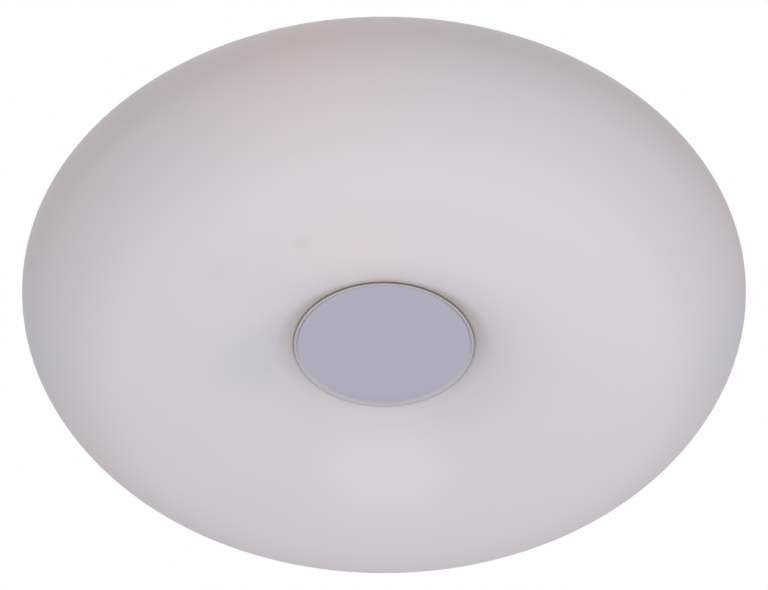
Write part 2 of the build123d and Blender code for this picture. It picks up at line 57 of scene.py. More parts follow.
# how many finer layers the patches of a finish have
DRIFT_DETAIL = 3.0
GLOSS_DETAIL = 4.0
RELIEF_DETAIL = 2.0
RING_DETAIL = 2.0
log = logging.getLogger("ceiling_light")

Point = tuple[float, float]
Tree = bpy.types.NodeTree
Node = bpy.types.Node
Socket = bpy.types.NodeSocket


# ---------------- small tools
def linear(colour: str) -> tuple[float, float, float, float]:
    """Turns an sRGB hex colour into linear values.

    Args:
        colour: A hash sign and six hex digits.

    Returns:
        Red, green and blue, and an alpha of 1.
    """
    levels = [int(colour[place:place + 2], 16) / 255 for place in (1, 3, 5)]
    red, green, blue = (v / 12.92 if v <= 0.04045 else ((v + 0.055) / 1.055) ** 2.4 for v in levels)
    return red, green, blue, 1.0


def add_node(
    tree: Tree,
    kind: str,
    settings: dict[str, object] | None = None,
    inputs: dict[str | int, Socket | float | tuple] | None = None,
) -> Node:
    """Adds a node to a tree, with its settings and what goes into it.

    Args:
        tree: The tree of a material or of the world.
        kind: Blender's name for the node's type.
        settings: The node's own properties and their values.
        inputs: Values for its sockets, or the sockets that they are linked from.

    Returns:
        The new node.
    """
    node = tree.nodes.new(kind)
    for name, value in (settings or {}).items():
        setattr(node, name, value)
    for name, value in (inputs or {}).items():
        if isinstance(value, Socket):
            tree.links.new(value, node.inputs[name])
        else:
            node.inputs[name].default_value = value
    return node


def deselect() -> None:
    """Clears the selection."""
    bpy.ops.object.select_all(action="DESELECT")


def choose(*pieces: bpy.types.Object) -> None:
    """Selects pieces and nothing else, and makes the last of them the active one."""
    deselect()
    for piece in pieces:
        piece.select_set(True)
    bpy.context.view_layer.objects.active = pieces[-1]


def node_size(node: str) -> tuple[Vector, Vector]:
    """Measures a CAD node's box.

    Args:
        node: Name of the node.

    Returns:
        The lowest and the highest corner, in millimetres.
    """
    low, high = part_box(node)
    return low / MM, high / MM


def stations(part: str) -> tuple[float, float, float]:
    """Measures a part of the first lampholder, whose lamp's axis points to minus X.

    Args:
        part: Name of its node, without the number.

    Returns:
        Where the part begins and ends along the axis, and its radius, in millimetres.
    """
    low, high = node_size(f"{part}_1")
    return -high.x, -low.x, (high.z - low.z) / 2


# ---------------- outlines
@dataclass
class Outline:
    """A pen that draws straight runs and tangent bends in the half plane of radius and height.

    A heading of 0 goes outwards from the axis and 90 goes up. A bend turns left when it is positive, and
    is drawn in runs that turn by about the facet's angle, in degrees.
    """

    radius: float
    height: float
    heading: float
    facet: float
    points: list[Point] = field(default_factory=list)

    def __post_init__(self) -> None:
        """Puts the first point down."""
        self.points.append((self.radius, self.height))

    def run(self, length: float) -> "Outline":
        """Draws a straight run.

        Args:
            length: Length of the run in millimetres.

        Returns:
            The pen itself.
        """
        self.radius += length * cos(radians(self.heading))
        self.height += length * sin(radians(self.heading))
        self.points.append((self.radius, self.height))
        return self

    def bend(self, radius: float, turn: float) -> "Outline":
        """Draws an arc that starts along the heading.

        Args:
            radius: Radius of the arc in millimetres.
            turn: Angle turned in degrees, positive to the left.

        Returns:
            The pen itself.
        """
        steps = max(2, round(abs(turn) / self.facet))
        chord = 2 * radius * sin(radians(abs(turn) / steps / 2))
        for _ in range(steps):
            self.heading += turn / steps / 2
            self.run(chord)
            self.heading += turn / steps / 2
        return self


def rounded(corners: Sequence[tuple[float, float, float]], facet: float = 15.0) -> list[Point]:
    """Rounds the corners of a line of straight runs.

    Args:
        corners: Radius and height of each corner, and the radius that rounds it.
        facet: Largest angle between two faces of a rounding, in degrees.

    Returns:
        The points of the rounded line, from the first corner to the last.
    """
    points = [corners[0][:2]]
    for before, corner, after in zip(corners, corners[1:], corners[2:]):
        arriving = Vector(corner[:2]) - Vector(before[:2])
        leaving = Vector(after[:2]) - Vector(corner[:2])
        turn = degrees(arriving.angle_signed(leaving, 0.0))
        cut = corner[2] * tan(radians(abs(turn) / 2))
        start = Vector(corner[:2]) - arriving.normalized() * cut
        heading = degrees(atan2(arriving.y, arriving.x))
        if corner[2] == 0:
            points.append(corner[:2])
        else:
            points += Outline(start.x, start.y, heading, facet).bend(corner[2], -turn).points
    points.append(corners[-1][:2])
    return points


# ---------------- meshes
def drawn(points: Sequence[Point]) -> bpy.types.Object:
    """Draws an outline as a chain of edges in the plane of X and Z, left in edit mode and selected.

    Args:
        points: Radius and height of each point, in millimetres.

    Returns:
        The object that is being edited.
    """
    deselect()
    bpy.ops.mesh.primitive_plane_add(size=MM, location=(0, 0, 0))
    bpy.ops.object.mode_set(mode="EDIT")
    bpy.ops.mesh.merge(type="CENTER")
    bpy.ops.transform.translate(value=(points[0][0] * MM, 0, points[0][1] * MM))
    for here, there in zip(points, points[1:]):
        step = ((there[0] - here[0]) * MM, 0, (there[1] - here[1]) * MM)
        bpy.ops.mesh.extrude_region_move(TRANSFORM_OT_translate={"value": step})
    bpy.ops.mesh.select_all(action="SELECT")
    return bpy.context.object


def closed_up(piece: bpy.types.Object, name: str, sharp_angle: float) -> bpy.types.Object:
    """Merges a mesh's doubles, turns its faces outwards, leaves edit mode and smooths it.

    Args:
        piece: The object in edit mode.
        name: Name for the object and its mesh.
        sharp_angle: Angle in degrees above which an edge stays sharp.

    Returns:
        The same object.
    """
    bpy.ops.mesh.select_all(action="SELECT")
    bpy.ops.mesh.remove_doubles(threshold=MERGE_DISTANCE * MM)
    bpy.ops.mesh.normals_make_consistent(inside=False)
    bpy.ops.object.mode_set(mode="OBJECT")
    bpy.ops.object.shade_smooth_by_angle(angle=radians(sharp_angle))
    piece.name = piece.data.name = name
    return piece


def spun(name: str, points: Sequence[Point], steps: int = 96, sharp_angle: float = 40.0) -> bpy.types.Object:
    """Turns an outline round the Z axis, as on a lathe.

    Args:
        name: Name for the piece.
        points: The outline, which ends on the axis or where it began.
        steps: Faces in one turn.
        sharp_angle: Angle in degrees above which an edge stays sharp.

    Returns:
        The piece, with its mesh about the Z axis.
    """
    piece = drawn(points)
    bpy.ops.mesh.spin(steps=steps, angle=2 * pi, center=(0, 0, 0), axis=(0, 0, 1))
    return closed_up(piece, name, sharp_angle)


def threaded(name: str, groove: Sequence[Point], low: float, high: float, steps: int) -> bpy.types.Object:
    """Winds one groove of a thread up the Z axis and cuts the rod off square at both ends.

    Args:
        name: Name for the piece.
        groove: Outline of one groove, whose height is the thread's pitch.
        low: Height of the lower end in millimetres.
        high: Height of the upper end in millimetres.
        steps: Faces in one turn.

    Returns:
        The threaded rod, closed at both ends.
    """
    spare_turns = 3
    sharp_angle = 50.0
    pitch = groove[-1][1] - groove[0][1]
    start = low - pitch - groove[0][1]
    piece = drawn([(radius, height + start) for radius, height in groove])
    bpy.ops.object.mode_set(mode="OBJECT")
    winding = piece.modifiers.new("winding", "SCREW")
    winding.axis = "Z"
    winding.steps = winding.render_steps = steps
    winding.screw_offset = pitch * MM
    winding.iterations = round((high - low) / pitch) + spare_turns
    winding.use_merge_vertices = True
    bpy.ops.object.modifier_apply(modifier=winding.name)
    bpy.ops.object.mode_set(mode="EDIT")
    bpy.ops.mesh.select_all(action="SELECT")
    bpy.ops.mesh.remove_doubles(threshold=MERGE_DISTANCE * MM)
    for height, outwards in ((low, -1), (high, 1)):
        bpy.ops.mesh.select_all(action="SELECT")
        bpy.ops.mesh.bisect(
            plane_co=(0, 0, height * MM), plane_no=(0, 0, outwards), use_fill=True, clear_outer=True
        )
    return closed_up(piece, name, sharp_angle)


def laid(piece: bpy.types.Object, place: Matrix) -> bpy.types.Object:
    """Moves a piece and puts the move into its mesh, so that the object stays at the origin.

    Args:
        piece: The piece to move.
        place: Where it goes, in metres.

    Returns:
        The same piece.
    """
    choose(piece)
    piece.matrix_world = place
    bpy.ops.object.transform_apply(location=True, rotation=True, scale=True)
    return piece


def cut_by(piece: bpy.types.Object, tool: bpy.types.Object) -> None:
    """Cuts one mesh with another, which is used up.

    Args:
        piece: The piece that is cut.
        tool: The mesh that cuts it.
    """
    choose(piece)
    cut = piece.modifiers.new("cut", "BOOLEAN")
    cut.operation = "DIFFERENCE"
    cut.solver = "EXACT"
    cut.object = tool
    bpy.ops.object.modifier_apply(modifier=cut.name)
    bpy.data.objects.remove(tool)


# ---------------- finishes
class Mix:
    """Places of the sockets of a colour mix, whose names repeat."""

    FACTOR = 0
    FIRST = 6
    SECOND = 7
    RESULT = 2


@dataclass
class Coat:
    """What a material is made of while its finish paints it.

    It holds the tree, the surface shader and the coordinates of the surface, which are in metres.
    """

    tree: Tree
    shader: Node
    place: Socket

    def tint(self, share: Socket, other: str) -> None:
        """Mixes another colour into what the surface has so far.

        Args:
            share: How much of the other colour shows, from 0 to 1.
            other: The other colour, as sRGB hex.
        """
        base = self.shader.inputs["Base Color"]
        before = base.links[0].from_socket if base.is_linked else tuple(base.default_value)
        sockets = {Mix.FACTOR: share, Mix.FIRST: before, Mix.SECOND: linear(other)}
        colour = add_node(self.tree, "ShaderNodeMix", {"data_type": "RGBA"}, sockets)
        self.tree.links.new(colour.outputs[Mix.RESULT], base)

    def polish(self, share: Socket, roughness: float, spread: float) -> None:
        """Lets the roughness follow a pattern.

        Args:
            share: The pattern, from 0 to 1.
            roughness: The roughness in the middle of the pattern.
            spread: Largest change of roughness to either side.
        """
        limits = {"Value": share, "To Min": roughness - spread, "To Max": roughness + spread}
        gloss = add_node(self.tree, "ShaderNodeMapRange", {}, limits)
        self.tree.links.new(gloss.outputs["Result"], self.shader.inputs["Roughness"])

    def emboss(self, share: Socket, depth: float) -> None:
        """Raises and sinks the surface with a pattern.

        Args:
            share: The pattern, from 0 to 1.
            depth: Height of the pattern's peaks in millimetres.
        """
        sockets = {"Height": share, "Distance": depth * MM, "Strength": 1.0}
        bump = add_node(self.tree, "ShaderNodeBump", {}, sockets)
        self.tree.links.new(bump.outputs["Normal"], self.shader.inputs["Normal"])

    def from_axis(self, middle: Point = (0.0, 0.0)) -> Socket:
        """Measures how far the surface is from an upright axis.

        Args:
            middle: Where the axis is in plan, in millimetres; the stud's axis if none is given.

        Returns:
            The distance in metres.
        """
        flat = {0: self.place, 1: (1.0, 1.0, 0.0), 2: (-middle[0] * MM, -middle[1] * MM, 0.0)}
        level = add_node(self.tree, "ShaderNodeVectorMath", {"operation": "MULTIPLY_ADD"}, flat)
        sockets = {0: level.outputs["Vector"]}
        return add_node(self.tree, "ShaderNodeVectorMath", {"operation": "LENGTH"}, sockets).outputs["Value"]

    def tint_near(self, distance: Socket, start: float, end: float, other: str) -> None:
        """Mixes another colour in over a stretch of distance, from all of it to none.

        Args:
            distance: The distance in metres.
            start: Where the other colour starts to fade, in millimetres.
            end: Where nothing of it is left, in millimetres.
            other: The other colour, as sRGB hex.
        """
        stretch = {"From Min": start * MM, "From Max": end * MM}
        sockets = {"Value": distance, "To Min": 1.0, "To Max": 0.0, **stretch}
        soft = {"interpolation_type": "SMOOTHSTEP"}
        fade = add_node(self.tree, "ShaderNodeMapRange", soft, sockets)
        self.tint(fade.outputs["Result"], other)


@dataclass(frozen=True)
class Finish:
    """A real surface: its colour and gloss, and how colour, gloss and height drift over it.

    Each drift has the size of its patches in millimetres, and one whose size is 0 is left out.
    """

    title: str
    colour: str
    roughness: float
    metallic: float = 0.0
    specular: float = 0.5
    drift_colour: str = ""
    drift_size: float = 0.0
    gloss_spread: float = 0.0
    gloss_size: float = 0.0
    relief_depth: float = 0.0
    relief_size: float = 0.0

    def material(self) -> bpy.types.Material:
        """Gives this finish's material, which is made the first time that it is asked for.

        Returns:
            The material, named for the finish.
        """
        made = bpy.data.materials.get(self.title)
        if made is None:
            made = bpy.data.materials.new(self.title)
            made.use_nodes = True
            tree = made.node_tree
            tree.nodes.clear()
            constants = {
                "Base Color": linear(self.colour),
                "Metallic": self.metallic,
                "Roughness": self.roughness,
                "Specular IOR Level": self.specular,
            }
            shader = add_node(tree, "ShaderNodeBsdfPrincipled", {}, constants)
            place = add_node(tree, "ShaderNodeTexCoord").outputs["Object"]
            self.paint(Coat(tree, shader, place))
            add_node(tree, "ShaderNodeOutputMaterial", {}, {"Surface": shader.outputs["BSDF"]})
        return made

    def paint(self, coat: Coat) -> None:
        """Adds what the real surface shows on top of its plain colour.

        Args:
            coat: The material's coat.
        """
        drifts = (
            (self.drift_size, DRIFT_DETAIL, coat.tint, (self.drift_colour,)),
            (self.gloss_size, GLOSS_DETAIL, coat.polish, (self.roughness, self.gloss_spread)),
            (self.relief_size, RELIEF_DETAIL, coat.emboss, (self.relief_depth,)),
        )
        for size, detail, change, amounts in drifts:
            if size:
                sockets = {"Vector": coat.place, "Scale": 1 / (size * MM), "Detail": detail}
                patches = add_node(coat.tree, "ShaderNodeTexNoise", {}, sockets)
                change(patches.outputs["Fac"], *amounts)


@dataclass(frozen=True)
class Cloud:
    """A soft round cloud of tint on the glass, used for painted light and shade and for smudges: its colour,
    how far it reaches and its middle, in millimetres.
    """

    colour: str
    reach: float
    middle: tuple[float, float, float]


@dataclass(frozen=True)
class OpalGlass(Finish):
    """Blown white opal glass, acid etched: matt and milky, with painted light and shade in soft clouds and
    two faint smudges.
    """

    title: str = "etched opal glass"
    colour: str = "#D5D0D4"
    roughness: float = 0.6
    specular: float = 0.12
    drift_colour: str = "#D3CED1"
    drift_size: float = 60.0
    relief_depth: float = 0.35
    relief_size: float = 45.0
    # painted shade: a darker beige ring on the glass round the cap, centred a little towards the near side
    cap_shade_colour: str = "#BDB4B1"
    cap_shade_middle: Point = (0.0, -8.5)
    cap_shade_start: float = 49.5
    cap_shade_end: float = 65.0
    # painted light and shade: warm near the rim and above the cap, lighter behind it, darker beside it, cool
    # and darker at both flanks, brownish shade just above it; then two smudges
    painted_light_shade_and_smudges: tuple[Cloud, ...] = (
        Cloud("#DBD0CF", 105.0, (-44.0, -200.0, -70.0)),
        Cloud("#DAD0CE", 56.0, (-16.0, -108.0, -117.0)),
        Cloud("#DCD6D9", 62.0, (2.0, 85.0, -107.0)),
        Cloud("#CECBD0", 52.0, (-76.0, -10.0, -105.0)),
        Cloud("#CFD0D8", 85.0, (-202.0, 0.0, -80.0)),
        Cloud("#CDCDD3", 60.0, (200.0, 0.0, -80.0)),
        Cloud("#D6C3BD", 24.0, (0.0, -62.0, -97.0)),
        Cloud("#D0CECF", 9.0, (-92.0, -92.0, -119.0)),
        Cloud("#D0CBC9", 8.0, (-45.0, -115.0, -118.5)),
    )

    def paint(self, coat: Coat) -> None:
        """Adds the painted light and shade, the two smudges and the painted shade round the cap to the
        milk's drift and the waves of blown work.

        Args:
            coat: The material's coat.
        """
        super().paint(coat)
        # each cloud but the last two is painted light or shade; those two are smudges
        for cloud in self.painted_light_shade_and_smudges:
            ends = {0: coat.place, 1: tuple(Vector(cloud.middle) * MM)}
            apart = add_node(coat.tree, "ShaderNodeVectorMath", {"operation": "DISTANCE"}, ends)
            coat.tint_near(apart.outputs["Value"], 0.0, cloud.reach, cloud.colour)
        # painted shade round the cap, darkest nearest it and fading outwards
        from_cap_shade = coat.from_axis(self.cap_shade_middle)
        coat.tint_near(from_cap_shade, self.cap_shade_start, self.cap_shade_end, self.cap_shade_colour)


@dataclass(frozen=True)
class SatinNickel(Finish):
    """Spun steel plated with satin nickel: an even grey sheen with hair-fine rings from the lathe."""

    title: str = "spun satin nickel"
    colour: str = "#BAB9C8"
    roughness: float = 0.38
    metallic: float = 1.0
    ring_pitch: float = 0.7
    ring_gloss: float = 0.05
    # painted highlight: a lighter ring over the rolled edge of the border
    edge_highlight_colour: str = "#C2BFC7"
    edge_start: float = 50.4
    edge_blend: float = 1.6
    # painted light: the side wall made lighter where it would mirror the shaded glass
    side_light_colour: str = "#DCD5D4"
    side_start: float = 52.1
    side_blend: float = 0.5

    def paint(self, coat: Coat) -> None:
        """Paints a highlight on the edge and light on the side, both brighter than the nickel, and adds the
        rings, coarser than real so that they show.

        Args:
            coat: The material's coat.
        """
        radius = coat.from_axis()
        # painted highlight on the edge
        coat.tint_near(radius, self.edge_start, self.edge_start - self.edge_blend, self.edge_highlight_colour)
        # painted light on the side wall
        coat.tint_near(radius, self.side_start, self.side_start - self.side_blend, self.side_light_colour)
        sockets = {"W": radius, "Scale": 1 / (self.ring_pitch * MM), "Detail": RING_DETAIL}
        rings = add_node(coat.tree, "ShaderNodeTexNoise", {"noise_dimensions": "1D"}, sockets)
        coat.polish(rings.outputs["Fac"], self.roughness, self.ring_gloss)


@dataclass(frozen=True)
class ZincPlate(Finish):
    """Steel plated with bright zinc: grey, slightly blue, in the cloudy gloss of its passivation."""

    title: str = "zinc plated steel"
    colour: str = "#B4B7BB"
    roughness: float = 0.36
    metallic: float = 1.0
    drift_colour: str = "#A9A79C"
    drift_size: float = 6.0
    gloss_spread: float = 0.1
    gloss_size: float = 3.0


@dataclass(frozen=True)
class PowderCoat(Finish):
    """White powder coat baked on sheet steel: half gloss over an orange peel, coarser than real."""

    title: str = "white powder coat"
    colour: str = "#E9E9E5"
    roughness: float = 0.42
    gloss_spread: float = 0.05
    gloss_size: float = 20.0
    relief_depth: float = 0.03
    relief_size: float = 1.6


@dataclass(frozen=True)
class GreenPlate(Finish):
    """Zinc plate dyed green, the mark of an earthing screw, with the dye darker in patches."""

    title: str = "green dyed zinc plate"
    colour: str = "#3F8A50"
    roughness: float = 0.32
    metallic: float = 0.8
    drift_colour: str = "#2C6E3D"
    drift_size: float = 2.5


@dataclass(frozen=True)
class Porcelain(Finish):
    """Glazed electrical porcelain: warm white under a wet gloss with faint flow marks."""

    title: str = "glazed porcelain"
    colour: str = "#EFEDE5"
    roughness: float = 0.13
    drift_colour: str = "#E6E3D8"
    drift_size: float = 9.0
    relief_depth: float = 0.05
    relief_size: float = 7.0


@dataclass(frozen=True)
class Brass(Finish):
    """Drawn sheet brass: yellow, with duller patches where tarnish begins."""

    title: str = "drawn brass"
    colour: str = "#CFA95C"
    roughness: float = 0.28
    metallic: float = 1.0
    drift_colour: str = "#A8803C"
    drift_size: float = 5.0
    gloss_spread: float = 0.1
    gloss_size: float = 4.0


@dataclass(frozen=True)
class CoatedBulbGlass(Finish):
    """Lamp glass with a white silica coat inside: soft white, a little thinner in places."""

    title: str = "white coated bulb glass"
    colour: str = "#F1F0EB"
    roughness: float = 0.22
    drift_colour: str = "#E8E6DF"
    drift_size: float = 18.0


@dataclass(frozen=True)
class RolledAluminium(Finish):
    """Thin rolled aluminium of a lamp's screw base, scuffed by its holder."""

    title: str = "rolled aluminium"
    colour: str = "#C9CACC"
    roughness: float = 0.3
    metallic: float = 1.0
    gloss_spread: float = 0.12
    gloss_size: float = 1.5


@dataclass(frozen=True)
class BlackGlass(Finish):
    """Black glass insulator of a lamp base, fused and glossy, in shallow lumps."""

    title: str = "black insulator glass"
    colour: str = "#141416"
    roughness: float = 0.1
    relief_depth: float = 0.08
    relief_size: float = 1.5


@dataclass(frozen=True)
class Solder(Finish):
    """Tin solder set in a drop: dull grey and slightly wrinkled."""

    title: str = "tin solder"
    colour: str = "#A9AAAC"
    roughness: float = 0.42
    metallic: float = 1.0
    gloss_spread: float = 0.1
    gloss_size: float = 1.0
    relief_depth: float = 0.1
    relief_size: float = 1.8


@dataclass(frozen=True)
class Silicone(Finish):
    """White silicone rubber, moulded: matt, with a trace of the dust that it draws."""

    title: str = "white silicone rubber"
    colour: str = "#DCDCDA"
    roughness: float = 0.58
    drift_colour: str = "#D0CFCB"
    drift_size: float = 4.0
    gloss_spread: float = 0.08
    gloss_size: float = 2.0


@dataclass(frozen=True)
class Nylon(Finish):
    """Natural moulded nylon: off-white, faintly yellow, with a fine matt grain."""

    title: str = "natural nylon"
    colour: str = "#E7E4D8"
    roughness: float = 0.5
    drift_colour: str = "#DEDACB"
    drift_size: float = 3.0
    relief_depth: float = 0.02
    relief_size: float = 0.6


@dataclass(frozen=True)
class GlassWool(Finish):
    """Bonded glass wool mat: straw yellow, matt, in tangled layers of fibre."""

    title: str = "glass wool mat"
    colour: str = "#E4D9AC"
    roughness: float = 0.95
    specular: float = 0.1
    drift_colour: str = "#CDBD86"
    drift_size: float = 7.0
    fibre_length: float = 9.0
    fibre_width: float = 0.7
    fibre_relief: float = 1.2
    lay_angles: tuple[float, float] = (35.0, -50.0)

    def paint(self, coat: Coat) -> None:
        """Crosses two lays of fibre, drawn thicker than real so that they show.

        Args:
            coat: The material's coat.
        """
        super().paint(coat)
        along = 1 / (self.fibre_length * MM)
        across = 1 / (self.fibre_width * MM)
        lays = {}
        for number, angle in enumerate(self.lay_angles):
            turn = {
                "Vector": coat.place,
                "Rotation": (0.0, 0.0, radians(angle)),
                "Scale": (along, across, across),
            }
            turned = add_node(coat.tree, "ShaderNodeMapping", {}, turn)
            sockets = {"Vector": turned.outputs["Vector"], "Scale": 1.0}
            lays[number] = add_node(coat.tree, "ShaderNodeTexNoise", {}, sockets).outputs["Fac"]
        crossed = add_node(coat.tree, "ShaderNodeMath", {"operation": "MAXIMUM"}, lays)
        coat.emboss(crossed.outputs["Value"], self.fibre_relief)


class LeadColour(Enum):
    """Colours of a lampholder's two leads."""

    LINE = "#1B1B1D"
    NEUTRAL = "#E6E5E0"


@dataclass(frozen=True)
class LeadInsulation(Finish):
    """Extruded plastic insulation of a fixture wire: soft gloss, slightly uneven from its extrusion."""

    roughness: float = 0.4
    gloss_spread: float = 0.08
    gloss_size: float = 2.0
    relief_depth: float = 0.03
    relief_size: float = 1.2


def dress(node: str, finish: Finish) -> None:
    """Gives a CAD node that stays in view its finish.

    Args:
        node: Name of the CAD node.
        finish: The finish that it takes.
    """
    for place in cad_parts[node].material_slots:
        place.material = finish.material()
    log.info("%s: %s", node, finish.title)


def settle(piece: bpy.types.Object, body: str, finish: Finish, nodes: Sequence[str]) -> None:
    """Dresses a new piece, rides it on its body and lets it stand for its CAD nodes.

    Args:
        piece: The new piece, in its place.
        body: The CAD body that it moves with.
        finish: The finish that it takes.
        nodes: The CAD nodes that it replaces.
    """
    piece.data.materials.clear()
    piece.data.materials.append(finish.material())
    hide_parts(*nodes)
    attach(piece, body)
    log.info("%s on %s: %s", piece.name, body, finish.title)


# ---------------- the studio
@dataclass
class Studio:
    """A plain pale studio: the photograph's viewpoint, an even white room and one soft lamp.

    The picture's sizes are pixels, the camera's distance is in radii of the shade, and the camera's reach,
    the lamp and the floor are in metres.
    """

    picture_width: float = 768.0
    shade_radius_in_picture: float = 360.36
    sensor_width: float = 36.0
    camera_elevation: float = -43.56
    camera_distance: float = 11.5
    camera_reach: float = 100.0
    aim_depth: float = 48.97
    room_above: tuple[float, float, float] = (0.804, 0.772, 0.766)
    room_below: tuple[float, float, float] = (0.565, 0.540, 0.537)
    lamp_power: float = 2.57
    lamp_diameter: float = 0.3
    lamp_place: tuple[float, float, float] = (0.13, -0.3, -0.85)
    lamp_colour: str = "#E4F5FF"
    floor_height: float = -2.9
    floor_width: float = 14.0
    backdrop_colour: str = "#FFFFFF"
    floor_colour: str = "#F4F3F3"
    floor_whiteness: float = 0.85

    def set_up(self) -> None:
        """Puts up the camera, the room's light, the lamp and the floor."""
        self.camera()
        self.room()
        self.lamp()
        self.floor()
        view = bpy.context.scene.view_settings
        view.view_transform = "Standard"

    def camera(self) -> None:
        """Aims the camera up at the light, from the photograph's distance and elevation."""
        shade_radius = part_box("shade_glass")[1].x
        distance = self.camera_distance * shade_radius
        target = Vector((0, 0, -self.aim_depth * MM))
        angle = radians(self.camera_elevation)
        place = target + distance * Vector((0, -cos(angle), sin(angle)))
        lens_data = bpy.data.cameras.new("camera")
        lens_data.sensor_fit = "HORIZONTAL"
        lens_data.sensor_width = self.sensor_width
        share = self.shade_radius_in_picture / self.picture_width
        lens_data.lens = self.sensor_width * share * self.camera_distance
        lens_data.clip_end = self.camera_reach
        camera = bpy.data.objects.new("camera", lens_data)
        camera.location = place
        camera.rotation_euler = (target - place).to_track_quat("-Z", "Y").to_euler()
        bpy.context.scene.collection.objects.link(camera)
        bpy.context.scene.camera = camera

    def white_to_lens(self, tree: Tree) -> Socket:
        """Tells the rays that show the studio from those that light the object.

        Args:
            tree: The tree of a material or of the world.

        Returns:
            1 for rays from the lens and for mirror and glass rays, and 0 for diffuse light.
        """
        ray = add_node(tree, "ShaderNodeLightPath")
        larger = {"operation": "MAXIMUM"}
        sockets = {0: ray.outputs["Is Camera Ray"], 1: ray.outputs["Is Glossy Ray"]}
        seen = add_node(tree, "ShaderNodeMath", larger, sockets)
        sockets = {0: seen.outputs["Value"], 1: ray.outputs["Is Transmission Ray"]}
        return add_node(tree, "ShaderNodeMath", larger, sockets).outputs["Value"]

    def room(self) -> None:
        """Lights the scene evenly from all round, and more from above than from below."""
        world = bpy.data.worlds.new("pale room")
        bpy.context.scene.world = world
        world.use_nodes = True
        tree = world.node_tree
        tree.nodes.clear()
        direction = add_node(tree, "ShaderNodeTexCoord").outputs["Generated"]
        height = add_node(tree, "ShaderNodeSeparateXYZ", {}, {"Vector": direction})
        limits = {"Value": height.outputs["Z"], "From Min": -1.0, "From Max": 1.0}
        share = add_node(tree, "ShaderNodeMapRange", {}, limits)
        sockets = {
            Mix.FACTOR: share.outputs["Result"],
            Mix.FIRST: (*self.room_below, 1.0),
            Mix.SECOND: (*self.room_above, 1.0),
        }
        walls = add_node(tree, "ShaderNodeMix", {"data_type": "RGBA"}, sockets)
        light = add_node(tree, "ShaderNodeBackground", {}, {"Color": walls.outputs[Mix.RESULT]})
        white = add_node(tree, "ShaderNodeBackground", {}, {"Color": linear(self.backdrop_colour)})
        sockets = {0: self.white_to_lens(tree), 1: light.outputs[0], 2: white.outputs[0]}
        either = add_node(tree, "ShaderNodeMixShader", {}, sockets)
        add_node(tree, "ShaderNodeOutputWorld", {}, {"Surface": either.outputs[0]})

    def lamp(self) -> None:
        """Hangs one large soft lamp below the light, a little to the right of the camera."""
        data = bpy.data.lights.new("soft lamp", "AREA")
        data.shape = "DISK"
        data.size = self.lamp_diameter
        data.energy = self.lamp_power
        data.color = linear(self.lamp_colour)[:3]
        lamp = bpy.data.objects.new("soft lamp", data)
        lamp.location = self.lamp_place
        lamp.rotation_euler = (-lamp.location).to_track_quat("-Z", "Y").to_euler()
        lamp.visible_camera = False
        lamp.visible_glossy = False
        bpy.context.scene.collection.objects.link(lamp)

    def floor(self) -> None:
        """Lays a pale floor far below the light, which shows white to the lens but keeps a shadow."""
        deselect()
        bpy.ops.mesh.primitive_plane_add(size=self.floor_width, location=(0, 0, self.floor_height))
        ground = bpy.context.object
        ground.name = ground.data.name = "floor"
        paper = bpy.data.materials.new("pale paper floor")
        paper.use_nodes = True
        tree = paper.node_tree
        tree.nodes.clear()
        lit = add_node(tree, "ShaderNodeBsdfDiffuse", {}, {"Color": linear(self.floor_colour)})
        white = add_node(tree, "ShaderNodeEmission", {}, {"Color": linear(self.backdrop_colour)})
        sockets = {0: self.white_to_lens(tree), 1: self.floor_whiteness}
        share = add_node(tree, "ShaderNodeMath", {"operation": "MULTIPLY"}, sockets)
        sockets = {0: share.outputs["Value"], 1: lit.outputs[0], 2: white.outputs[0]}
        either = add_node(tree, "ShaderNodeMixShader", {}, sockets)
        add_node(tree, "ShaderNodeOutputMaterial", {}, {"Surface": either.outputs[0]})
        ground.data.materials.append(paper)


